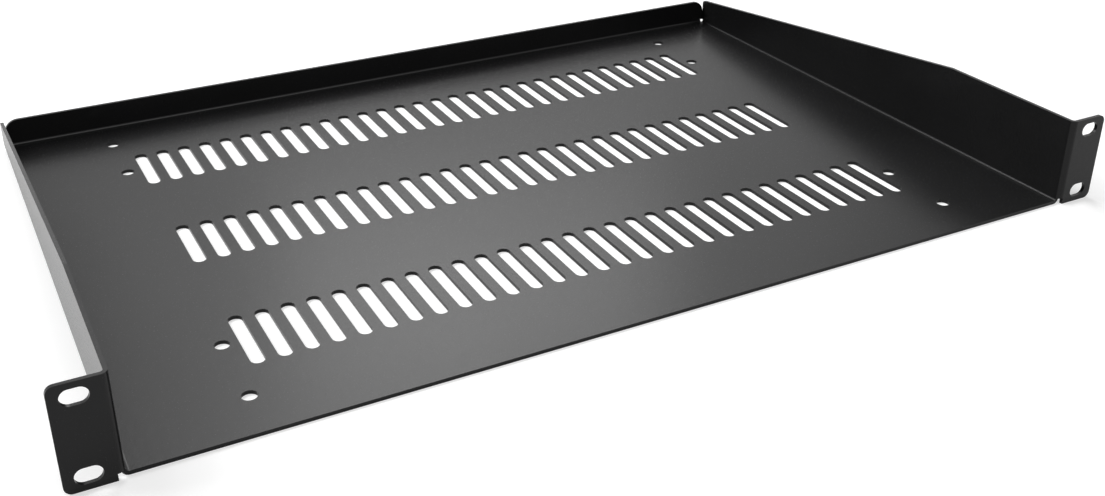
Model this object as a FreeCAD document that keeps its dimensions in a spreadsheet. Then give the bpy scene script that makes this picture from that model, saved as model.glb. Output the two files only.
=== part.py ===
import FreeCAD, Part
import math
import os
import Sketcher
from enum import IntEnum
from types import SimpleNamespace

# A one-unit cantilever rack shelf, folded from one sheet of steel: a slotted floor, two side walls that
# taper to the back, a low back lip with rounded corners, and two ears that bolt to the rack's front rails.
#
# Frame: +X to the right as seen from the front, +Y to the back, +Z up, in millimetres. The origin is the
# centre of the four rack slots, on the rear faces of the ears, where the shelf meets the rails.

SIZES = (
    ("sheet", "1.65", "thickness of the sheet with its coating"),
    ("fold", "1.25", "inside radius of every fold"),
    ("panel_width", "482.6", "width over the two ears"),
    ("panel_height", "43.4", "height of the ears and of the side walls behind them"),
    ("body_width", "444.5", "width over the two side walls"),
    ("depth", "304.8", "front face of the ears to the back face of the lip"),
    ("ear_corner", "3.2", "radius of the ears' outer corners"),
    ("rack_edge", "8.75", "centre of a rack slot to the outer edge of its ear"),
    ("rack_rise", "31.75", "rack slots, centre to centre up the ear"),
    ("rack_slot_long", "9.78", "rack slot, end to end"),
    ("rack_slot_wide", "6.6", "rack slot, width"),
    ("level_run", "78.35", "rear face of the ears to where the side walls begin to fall"),
    ("wall_corner", "2.2", "radius of the side walls' upper rear corners"),
    ("corner_gap", "0.15", "gap between the end of a side wall and the lip"),
    ("lip_height", "15.55", "underside of the floor to the top of the lip"),
    ("lip_corner", "7.2", "radius of the lip's upper corners"),
    ("lip_inset", "1.53", "how far the lip ends inside the outer face of a side wall"),
    ("slot_long", "38.2", "vent slot, end to end"),
    ("slot_wide", "6.15", "vent slot, width"),
    ("slot_pitch", "11.1125", "vent slots, centre to centre along a row"),
    ("slot_count", "30", "vent slots in a row"),
    ("row_pitch", "88.9", "rows of vent slots, centre to centre"),
    ("row_count", "3", "rows of vent slots"),
    ("hole_gap", "9.77", "last slot of a row to the round hole at its end, centre to centre"),
    ("row_hole", "6.5", "diameter of the round holes at the row ends"),
    ("foot_hole", "6.5", "diameter of the round holes near the floor's corners"),
    ("foot_inset", "25.4", "foot holes to the front face of the ears, and to the back face of the lip"),
)

Vertex = IntEnum("Vertex", "START END CENTRE")
X_AXIS_SHAPE = -1
QUARTER_TURN, HALF_TURN = 90, 180
CHORDS = 8


class Size:
    """A size worked out from the sheet of sizes: the expression that binds it, and its value now."""

    def __init__(self, text, value):
        self.text = text
        self.value = value

    def joined(self, sign, other, value):
        return Size(f"({self.text} {sign} {other.text})", value)

    def __add__(self, other):
        return self.joined("+", other, self.value + other.value)

    def __sub__(self, other):
        return self.joined("-", other, self.value - other.value)

    def __mul__(self, other):
        return self.joined("*", other, self.value * other.value)

    def __truediv__(self, other):
        return self.joined("/", other, self.value / other.value)

    def __neg__(self):
        return ZERO - self


ZERO = Size("0", 0.0)
ONE = Size("1", 1.0)
TWO = Size("2", 2.0)
UPWARDS = FreeCAD.Vector(0, 0, 1)


def sheet_of_sizes(doc):
    """The spreadsheet that drives every sketch and feature; its cells come back as named Sizes."""
    sheet = doc.addObject("Spreadsheet::Sheet", "Sizes")
    for row, (name, value, meaning) in enumerate(SIZES, start=1):
        sheet.set(f"A{row}", value)
        sheet.setAlias(f"A{row}", name)
        sheet.set(f"B{row}", meaning)
    doc.recompute()
    cells = {name: Size(f"Sizes.{name}", float(sheet.get(name))) for name, value, meaning in SIZES}
    return SimpleNamespace(**cells)


def add_places(size):
    """Works out from the sheet where the faces and folds lie."""
    size.outer_fold = size.fold + size.sheet
    size.top = size.panel_height / TWO
    size.underside = -size.top
    size.fold_top = size.underside + size.outer_fold
    size.side = size.body_width / TWO
    size.side_fold = size.side - size.outer_fold
    size.back = size.depth - size.sheet
    size.back_fold = size.back - size.outer_fold
    size.lip_front = size.back - size.sheet
    size.lip_top = size.underside + size.lip_height
    size.middle = size.depth / TWO - size.sheet


def sketch_on(body, name, role, offset=ZERO):
    """A sketch on one of the body's origin planes, moved by offset along that plane's normal."""
    plane = next(item for item in body.Origin.OriginFeatures if item.Role == role)
    sketch = body.newObject("Sketcher::SketchObject", name)
    sketch.AttachmentSupport = [(plane, "")]
    sketch.MapMode = "FlatFace"
    sketch.setExpression(".AttachmentOffset.Base.z", offset.text)
    return sketch


def hold(sketch, kind, size, *vertices):
    """Adds a dimension whose value comes from the sheet of sizes."""
    place = sketch.addConstraint(Sketcher.Constraint(kind, *vertices, size.value))
    sketch.setExpression(f"Constraints[{place}]", size.text)


def pin(sketch, shape, vertex, x, y):
    """Holds a vertex at x and y from the sketch's origin."""
    hold(sketch, "DistanceX", x, X_AXIS_SHAPE, Vertex.START, shape, vertex)
    hold(sketch, "DistanceY", y, X_AXIS_SHAPE, Vertex.START, shape, vertex)


def rounding(before, corner, after, radius):
    """Three points of the arc that rounds a corner between its two neighbours: start, middle and end."""
    back = (before - corner).normalize()
    ahead = (after - corner).normalize()
    half = back.getAngle(ahead) / 2
    reach = radius / math.tan(half)
    inset = radius / math.sin(half) - radius
    return corner + back * reach, corner + (back + ahead).normalize() * inset, corner + ahead * reach


def outline(sketch, corners):
    """A closed outline, anticlockwise through corners of (x, y, radius), where ZERO leaves a corner sharp."""
    points = [FreeCAD.Vector(x.value, y.value, 0) for x, y, radius in corners]
    following = points[1:] + points[:1]
    bends = [
        rounding(points[place - 1], points[place], following[place], radius.value)
        for place, (x, y, radius) in enumerate(corners)
    ]
    lines = [
        sketch.addGeometry(Part.LineSegment(bend[-1], bends[(place + 1) % len(bends)][0]))
        for place, bend in enumerate(bends)
    ]
    for place, (x, y, radius) in enumerate(corners):
        mark = sketch.addGeometry(Part.Point(points[place]), True)
        pin(sketch, mark, Vertex.START, x, y)
        before, after = lines[place - 1], lines[place]
        if radius is ZERO:
            sketch.addConstraint(Sketcher.Constraint("Coincident", before, Vertex.END, mark, Vertex.START))
            sketch.addConstraint(Sketcher.Constraint("Coincident", after, Vertex.START, mark, Vertex.START))
            continue
        arc = sketch.addGeometry(Part.Arc(*bends[place]))
        sketch.addConstraint(Sketcher.Constraint("PointOnObject", mark, Vertex.START, before))
        sketch.addConstraint(Sketcher.Constraint("PointOnObject", mark, Vertex.START, after))
        sketch.addConstraint(Sketcher.Constraint("Tangent", before, Vertex.END, arc, Vertex.START))
        sketch.addConstraint(Sketcher.Constraint("Tangent", arc, Vertex.END, after, Vertex.START))
        hold(sketch, "Radius", radius, arc)


def quarter_ring(sketch, x, y, inner, outer, first):
    """The section of a fold: a quarter of a ring about x, y that starts at the angle first, in degrees."""
    centre = FreeCAD.Vector(x.value, y.value, 0)
    arcs = []
    for radius in (inner, outer):
        circle = Part.Circle(centre, UPWARDS, radius.value)
        last = first + QUARTER_TURN
        arc = sketch.addGeometry(Part.ArcOfCircle(circle, math.radians(first), math.radians(last)))
        hold(sketch, "Radius", radius, arc)
        arcs.append(arc)
    pin(sketch, arcs[0], Vertex.CENTRE, x, y)
    sketch.addConstraint(Sketcher.Constraint("Coincident", arcs[0], Vertex.CENTRE, arcs[1], Vertex.CENTRE))
    upright_first = first % HALF_TURN == QUARTER_TURN
    for vertex, upright in ((Vertex.START, upright_first), (Vertex.END, not upright_first)):
        for arc in arcs:
            level = "Vertical" if upright else "Horizontal"
            sketch.addConstraint(Sketcher.Constraint(level, arc, Vertex.CENTRE, arc, vertex))
        ends = [sketch.getPoint(arc, vertex) for arc in arcs]
        line = sketch.addGeometry(Part.LineSegment(*ends))
        sketch.addConstraint(Sketcher.Constraint("Coincident", line, Vertex.START, arcs[0], vertex))
        sketch.addConstraint(Sketcher.Constraint("Coincident", line, Vertex.END, arcs[1], vertex))


def level_slot(sketch, x, y, long, wide):
    """A slot with round ends that lies along the sketch's X, centred on x, y."""
    reach = (long - wide) / TWO
    radius = wide / TWO
    arcs = []
    for centre_x, first in ((x + reach, -QUARTER_TURN), (x - reach, QUARTER_TURN)):
        circle = Part.Circle(FreeCAD.Vector(centre_x.value, y.value, 0), UPWARDS, radius.value)
        last = first + HALF_TURN
        arc = sketch.addGeometry(Part.ArcOfCircle(circle, math.radians(first), math.radians(last)))
        pin(sketch, arc, Vertex.CENTRE, centre_x, y)
        arcs.append(arc)
    for here, there in (arcs, reversed(arcs)):
        ends = sketch.getPoint(here, Vertex.END), sketch.getPoint(there, Vertex.START)
        side = sketch.addGeometry(Part.LineSegment(*ends))
        sketch.addConstraint(Sketcher.Constraint("Tangent", here, Vertex.END, side, Vertex.START))
        sketch.addConstraint(Sketcher.Constraint("Tangent", side, Vertex.END, there, Vertex.START))
    sketch.addConstraint(Sketcher.Constraint("Equal", *arcs))
    hold(sketch, "Radius", radius, arcs[0])


def round_the_clock(x, y, radius, turn):
    """The corner on a circle about x, y, at an angle of turn degrees from the X axis."""
    cosine = Size(f"cos({turn} deg)", math.cos(math.radians(turn)))
    sine = Size(f"sin({turn} deg)", math.sin(math.radians(turn)))
    return x + radius * cosine, y + radius * sine, ZERO


def upright_slot(sketch, x, y, long, wide):
    """A slot along the sketch's Y, centred on x, y. Its round ends are drawn in chords, which keeps a
    hole that repeats many times light: they lie within a hundredth of the width from the true arc."""
    reach = (long - wide) / TWO
    turns = [chord * HALF_TURN / CHORDS for chord in range(CHORDS + 1)]
    far = [round_the_clock(x, y + reach, wide / TWO, turn) for turn in turns]
    near = [round_the_clock(x, y - reach, wide / TWO, turn + HALF_TURN) for turn in turns]
    outline(sketch, far + near)


def disc(sketch, x, y, diameter):
    """A circle about x, y."""
    circle = Part.Circle(FreeCAD.Vector(x.value, y.value, 0), UPWARDS, diameter.value / 2)
    shape = sketch.addGeometry(circle)
    pin(sketch, shape, Vertex.CENTRE, x, y)
    hold(sketch, "Diameter", diameter, shape)


def pad(body, sketch, length, backwards=False, both_ways=False):
    """Adds the sketch's shape, along its normal unless backwards, or half to each side."""
    feature = body.newObject("PartDesign::Pad", f"{sketch.Name}_pad")
    feature.Profile = sketch
    feature.Reversed = backwards
    feature.SideType = "Symmetric" if both_ways else "One side"
    feature.setExpression("Length", length.text)
    return feature


def pocket(body, sketch, length):
    """Cuts the sketch's shape to a length, in the direction in which its plane faces."""
    feature = body.newObject("PartDesign::Pocket", f"{sketch.Name}_cut")
    feature.Profile = sketch
    feature.Reversed = True
    feature.setExpression("Length", length.text)
    return feature


def grid(body, cut, across, count_across, along, count_along):
    """Repeats a cut over a rectangle that is across wide in X and along long in Y."""
    axes = {item.Role: item for item in body.Origin.OriginFeatures}
    feature = body.newObject("PartDesign::LinearPattern", f"{cut.Name}_grid")
    feature.Originals = [cut]
    feature.Direction = (axes["X_Axis"], [""])
    feature.Direction2 = (axes["Y_Axis"], [""])
    feature.setExpression("Length", across.text)
    feature.setExpression("Length2", along.text)
    feature.setExpression("Occurrences", count_across.text)
    feature.setExpression("Occurrences2", count_along.text)
    body.Tip = feature


def add_floor(body, size):
    """The floor's flat plate, between the two side folds and in front of the back fold."""
    sketch = sketch_on(body, "floor", "XY_Plane", size.underside)
    corners = (
        (-size.side_fold, ZERO, ZERO),
        (size.side_fold, ZERO, ZERO),
        (size.side_fold, size.back_fold, ZERO),
        (-size.side_fold, size.back_fold, ZERO),
    )
    outline(sketch, corners)
    pad(body, sketch, size.sheet)


def add_lip(body, size):
    """The back fold, and the low lip that stands on it."""
    fold = sketch_on(body, "back_fold", "YZ_Plane")
    quarter_ring(fold, size.back_fold, size.fold_top, size.fold, size.outer_fold, -90)
    pad(body, fold, size.side_fold * TWO, both_ways=True)
    end = size.side - size.lip_inset
    lip = sketch_on(body, "lip", "XZ_Plane", -size.lip_front)
    corners = (
        (-end, size.fold_top, ZERO),
        (end, size.fold_top, ZERO),
        (end, size.lip_top, size.lip_corner),
        (-end, size.lip_top, size.lip_corner),
    )
    outline(lip, corners)
    pad(body, lip, size.sheet, backwards=True)


def add_side_wall(body, size):
    """The right-hand fold and the wall on it: level behind the ear, then falling to the lip's height.

    This fold ends where the back fold begins, which leaves a small square relief at the floor's corner."""
    fold = sketch_on(body, "side_fold", "XZ_Plane")
    quarter_ring(fold, size.side_fold, size.fold_top, size.fold, size.outer_fold, -90)
    fold_pad = pad(body, fold, size.back_fold, backwards=True)
    end = size.lip_front - size.corner_gap
    fall = (size.top - size.lip_top) * (end - size.level_run) / (size.back - size.level_run)
    wall = sketch_on(body, "side_wall", "YZ_Plane", size.side - size.sheet)
    corners = (
        (size.fold, size.fold_top, ZERO),
        (end, size.fold_top, ZERO),
        (end, size.top - fall, size.wall_corner),
        (size.level_run, size.top, ZERO),
        (size.fold, size.top, ZERO),
    )
    outline(wall, corners)
    return [fold_pad, pad(body, wall, size.sheet)]


def add_ear(body, size):
    """The right-hand ear: the fold that turns it out of the side wall, its plate and its two rack slots.

    The fold stops above the floor's own fold, which leaves a square relief beside the ear's lower corner."""
    inner_edge = size.side + size.fold
    outer_edge = size.panel_width / TWO
    fold = sketch_on(body, "ear_fold", "XY_Plane", size.fold_top)
    quarter_ring(fold, inner_edge, size.fold, size.fold, size.outer_fold, 180)
    fold_pad = pad(body, fold, size.top - size.fold_top)
    ear = sketch_on(body, "ear", "XZ_Plane")
    corners = (
        (inner_edge, size.underside, ZERO),
        (outer_edge, size.underside, size.ear_corner),
        (outer_edge, size.top, size.ear_corner),
        (inner_edge, size.top, ZERO),
    )
    outline(ear, corners)
    ear_pad = pad(body, ear, size.sheet)
    slots = sketch_on(body, "rack_slots", "XZ_Plane")
    for height in (size.rack_rise / TWO, -size.rack_rise / TWO):
        level_slot(slots, outer_edge - size.rack_edge, height, size.rack_slot_long, size.rack_slot_wide)
    return [fold_pad, ear_pad, pocket(body, slots, size.sheet)]


def mirror(body, features):
    """Repeats the right-hand features on the left."""
    plane = next(item for item in body.Origin.OriginFeatures if item.Role == "YZ_Plane")
    feature = body.newObject("PartDesign::Mirrored", "left_hand")
    feature.Originals = features
    feature.MirrorPlane = (plane, [""])
    body.Tip = feature


def cut_floor_holes(body, size):
    """A round hole at each end of the outer rows of vent slots, four foot holes, and the rows themselves."""
    row = size.slot_pitch * (size.slot_count - ONE)
    rows = size.row_pitch * (size.row_count - ONE)
    front_row = size.middle - rows / TWO
    span = row + size.hole_gap * TWO
    row_end = sketch_on(body, "row_end_hole", "XY_Plane", size.underside)
    disc(row_end, -span / TWO, front_row, size.row_hole)
    grid(body, pocket(body, row_end, size.sheet), span, TWO, rows, TWO)
    feet = size.depth - size.foot_inset * TWO
    foot = sketch_on(body, "foot_hole", "XY_Plane", size.underside)
    disc(foot, -span / TWO, size.middle - feet / TWO, size.foot_hole)
    grid(body, pocket(body, foot, size.sheet), span, TWO, feet, TWO)
    vent = sketch_on(body, "vent_slot", "XY_Plane", size.underside)
    upright_slot(vent, -row / TWO, front_row, size.slot_long, size.slot_wide)
    grid(body, pocket(body, vent, size.sheet), row, size.slot_count, rows, size.row_count)


def check(doc, shape):
    """Stops if a feature failed, or if the sheet isn't one whole solid."""
    for item in doc.Objects:
        if "Invalid" in item.State or "Error" in item.State:
            raise RuntimeError(f"{item.Label} failed: {item.State}")
        if item.isDerivedFrom("Sketcher::SketchObject") and not item.FullyConstrained:
            raise RuntimeError(f"{item.Label} isn't fully constrained")
    if shape.isNull() or not shape.isValid() or len(shape.Solids) != 1:
        raise RuntimeError("the shelf isn't one valid solid")


def main():
    doc = FreeCAD.newDocument("rack_shelf")
    size = sheet_of_sizes(doc)
    add_places(size)
    shelf = doc.addObject("PartDesign::Body", "shelf")
    shelf.Label = "shelf"
    shelf.Placement = FreeCAD.Placement()
    add_floor(shelf, size)
    add_lip(shelf, size)
    right_hand = add_side_wall(shelf, size) + add_ear(shelf, size)
    mirror(shelf, right_hand)
    cut_floor_holes(shelf, size)
    doc.recompute()
    check(doc, shelf.Shape)
    os.makedirs("parts", exist_ok=True)
    shelf.Shape.exportStep(os.path.join("parts", f"{shelf.Label}.step"))


main()
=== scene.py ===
import math

import bpy
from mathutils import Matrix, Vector


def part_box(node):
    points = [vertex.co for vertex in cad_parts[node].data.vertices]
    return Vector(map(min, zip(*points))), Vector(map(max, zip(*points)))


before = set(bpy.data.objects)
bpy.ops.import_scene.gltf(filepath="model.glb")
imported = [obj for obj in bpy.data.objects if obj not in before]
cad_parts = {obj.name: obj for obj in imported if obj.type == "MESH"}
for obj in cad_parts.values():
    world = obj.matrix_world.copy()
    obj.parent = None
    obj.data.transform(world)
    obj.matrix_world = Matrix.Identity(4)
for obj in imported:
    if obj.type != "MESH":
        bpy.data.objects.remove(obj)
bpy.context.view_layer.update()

# A one-unit cantilever rack shelf in fine-textured black powder coat, on a pale studio floor.
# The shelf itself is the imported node; this script gives it its finish, its lights and its camera.
# Lengths are in metres, angles in degrees and lamps in watts, except where a comment says otherwise.

MM = 0.001
WHITE = (1.0, 1.0, 1.0, 1.0)

# The coat: its two depths of black, the range of its roughness, and how strongly it mirrors.
COAT_DARK = (0.0055, 0.0055, 0.0057, 1.0)
COAT_PALE = (0.0090, 0.0090, 0.0093, 1.0)
COAT_ROUGHNESS = (0.235, 0.275)
COAT_MIRROR = 0.18

# Its patterns: slow clouds of tint, a fine grain and a wider orange peel. Scale is about how many
# features there are to a metre. The grain and the peel also stand up from the sheet.
CLOUD = {"Scale": 14.0, "Detail": 3.0, "Roughness": 0.55}
GRAIN = {"Scale": 1500.0, "Detail": 2.0, "Roughness": 0.5}
PEEL = {"Scale": 420.0, "Detail": 1.0, "Roughness": 0.4}
GRAIN_BUMP = {"Strength": 0.40, "Distance": 0.06 * MM}
PEEL_BUMP = {"Strength": 0.25, "Distance": 0.10 * MM}

# A pattern's values stay near their middle. These two count as its lowest and its highest.
PATTERN_LOW = 0.3
PATTERN_HIGH = 0.7

# The floor: its matt colour, the glow that lifts it to white where it is seen, half its width,
# and the gap that keeps it clear of the shelf's underside.
FLOOR_COLOUR = (0.70, 0.70, 0.70, 1.0)
FLOOR_GLOW = 0.38
FLOOR_HALF_WIDTH = 40.0
FLOOR_GAP = 0.05 * MM

# How brightly the white room lights the shelf and the floor.
ROOM_LEVEL = 0.30

# Softboxes: name, degrees to the right of straight back, degrees up, width, height, watts.
LAMP_DISTANCE = 2.4
SOFTBOXES = (
    ("back_left", 12, 36, 0.9, 0.7, 2.9),
    ("back_middle", 24, 36, 0.9, 0.7, 6.9),
    ("back_right", 36, 36, 0.9, 0.7, 2.2),
    ("back_high", 12, 48, 0.9, 0.7, 5.6),
    ("left_high", -30, 48, 0.5, 0.5, 8.0),
    ("left", -60, 40, 1.2, 1.0, 36.0),
    ("front", 170, 62, 1.4, 1.0, 17.2),
)

# The camera: its place, how far it looks down, and how far it turns to the right of straight back.
# Its sensor and lens are in millimetres, and its shifts are shares of the sensor's width.
CAMERA_PLACE = (-0.25764, -0.37006, 0.25867)
CAMERA_DOWN = 26.177
CAMERA_RIGHT = 27.489
SENSOR_WIDTH = 36.0
LENS = 41.445
SHIFT_ACROSS = 0.01883
SHIFT_UP = -0.05763

low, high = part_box("shelf")
middle = (low + high) / 2


def empty_material(name):
    """A new material whose node tree is empty."""
    material = bpy.data.materials.new(name)
    material.use_nodes = True
    material.node_tree.nodes.clear()
    return material


def add_node(tree, kind, *values, **named_values):
    """Adds a node and gives its inputs fixed values or other nodes' outputs.

    Plain values go to the inputs in order, and named ones to the inputs of those names, "_" for a space.
    """
    node = tree.nodes.new(kind)
    pairs = list(zip(node.inputs, values))
    pairs += [(node.inputs[name.replace("_", " ")], value) for name, value in named_values.items()]
    for socket, value in pairs:
        if isinstance(value, bpy.types.NodeSocket):
            tree.links.new(value, socket)
        else:
            socket.default_value = value
    return node


def stretched(tree, pattern, low_end, high_end):
    """A pattern's values, stretched over the range from low_end to high_end."""
    limits = {"From_Min": PATTERN_LOW, "From_Max": PATTERN_HIGH, "To_Min": low_end, "To_Max": high_end}
    return add_node(tree, "ShaderNodeMapRange", Value=pattern, **limits).outputs["Result"]


def coat_black(tree, factor):
    """The coat's black: its dark depth at factor 0, its pale depth at factor 1."""
    tint = add_node(tree, "ShaderNodeMix")
    tint.data_type = "RGBA"
    tint.inputs["A"].default_value = COAT_DARK
    tint.inputs["B"].default_value = COAT_PALE
    tree.links.new(factor, tint.inputs["Factor"])
    return next(socket for socket in tint.outputs if socket.type == "RGBA")


def powder_coat():
    """Satin black powder coat: slow clouds of tint, an orange peel, and a fine grain of height and gloss."""
    material = empty_material("black_powder_coat")
    tree = material.node_tree
    place = add_node(tree, "ShaderNodeTexCoord").outputs["Object"]
    cloud = add_node(tree, "ShaderNodeTexNoise", Vector=place, **CLOUD).outputs["Fac"]
    grain = add_node(tree, "ShaderNodeTexNoise", Vector=place, **GRAIN).outputs["Fac"]
    peel = add_node(tree, "ShaderNodeTexNoise", Vector=place, **PEEL).outputs["Fac"]

    fine = add_node(tree, "ShaderNodeBump", Height=grain, **GRAIN_BUMP).outputs["Normal"]
    both = add_node(tree, "ShaderNodeBump", Height=peel, Normal=fine, **PEEL_BUMP).outputs["Normal"]
    coat = add_node(
        tree,
        "ShaderNodeBsdfPrincipled",
        Base_Color=coat_black(tree, stretched(tree, cloud, 0.0, 1.0)),
        Roughness=stretched(tree, grain, *COAT_ROUGHNESS),
        Specular_IOR_Level=COAT_MIRROR,
        Normal=both,
    )
    add_node(tree, "ShaderNodeOutputMaterial", Surface=coat.outputs["BSDF"])
    return material


def seen_level(tree, unseen, seen):
    """A strength: seen where the eye, a reflection or a clear body looks, and unseen for other light."""
    path = add_node(tree, "ShaderNodeLightPath")
    looks = path.outputs["Is Camera Ray"]
    for ray in ("Is Glossy Ray", "Is Transmission Ray"):
        either = add_node(tree, "ShaderNodeMath", looks, path.outputs[ray])
        either.operation = "MAXIMUM"
        looks = either.outputs["Value"]
    return add_node(tree, "ShaderNodeMapRange", Value=looks, To_Min=unseen, To_Max=seen).outputs["Result"]


def studio_floor():
    """A plain matt floor. It reads white to the eye and in reflections, and still takes the shelf's shadow.

    Its underside is clear, so that the shelf can be seen from below.
    """
    material = empty_material("studio_floor")
    tree = material.node_tree
    matt = add_node(tree, "ShaderNodeBsdfDiffuse", Color=FLOOR_COLOUR).outputs["BSDF"]
    strength = seen_level(tree, unseen=0.0, seen=FLOOR_GLOW)
    glow = add_node(tree, "ShaderNodeEmission", Color=WHITE, Strength=strength).outputs["Emission"]
    top = add_node(tree, "ShaderNodeAddShader", matt, glow).outputs["Shader"]
    clear = add_node(tree, "ShaderNodeBsdfTransparent", Color=WHITE).outputs["BSDF"]
    from_below = add_node(tree, "ShaderNodeNewGeometry").outputs["Backfacing"]
    surface = add_node(tree, "ShaderNodeMixShader", from_below, top, clear).outputs["Shader"]
    add_node(tree, "ShaderNodeOutputMaterial", Surface=surface)
    return material


def add_floor(material):
    """The floor under the shelf, wide enough to fill the view behind it."""
    half, level = FLOOR_HALF_WIDTH, low.z - FLOOR_GAP
    mesh = bpy.data.meshes.new("studio_floor")
    corners = [(-half, -half, level), (half, -half, level), (half, half, level), (-half, half, level)]
    mesh.from_pydata(corners, [], [(0, 1, 2, 3)])
    mesh.materials.append(material)
    floor = bpy.data.objects.new("studio_floor", mesh)
    bpy.context.scene.collection.objects.link(floor)


def add_world():
    """A white room: full white where it is seen or mirrored, and a plain level of light on the object."""
    world = bpy.data.worlds.new("studio")
    world.use_nodes = True
    bpy.context.scene.world = world
    tree = world.node_tree
    background = tree.nodes["Background"]
    background.inputs["Color"].default_value = WHITE
    tree.links.new(seen_level(tree, unseen=ROOM_LEVEL, seen=1.0), background.inputs["Strength"])


def add_softbox(name, azimuth, elevation, width, height, watts):
    """A softbox that faces the shelf from azimuth degrees right of straight back and elevation degrees up."""
    data = bpy.data.lights.new(name, "AREA")
    data.shape = "RECTANGLE"
    data.size = width
    data.size_y = height
    data.energy = watts
    lamp = bpy.data.objects.new(name, data)
    across, up = math.radians(azimuth), math.radians(elevation)
    level = math.cos(up)
    away = Vector((math.sin(across) * level, math.cos(across) * level, math.sin(up)))
    lamp.location = middle + away * LAMP_DISTANCE
    lamp.rotation_euler = away.to_track_quat("Z", "Y").to_euler()
    bpy.context.scene.collection.objects.link(lamp)


def add_camera():
    """The camera: left of the middle and a little above, looking back and to the right."""
    data = bpy.data.cameras.new("camera")
    data.sensor_width = SENSOR_WIDTH
    data.lens = LENS
    data.shift_x = SHIFT_ACROSS
    data.shift_y = SHIFT_UP
    camera = bpy.data.objects.new("camera", data)
    camera.location = CAMERA_PLACE
    camera.rotation_euler = (math.radians(90 - CAMERA_DOWN), 0, math.radians(-CAMERA_RIGHT))
    bpy.context.scene.collection.objects.link(camera)
    bpy.context.scene.camera = camera


coat = powder_coat()
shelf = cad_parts["shelf"]
for slot in shelf.material_slots:
    slot.material = coat
add_floor(studio_floor())
add_world()
for softbox in SOFTBOXES:
    add_softbox(*softbox)
add_camera()
bpy.context.scene.view_settings.view_transform = "Standard"
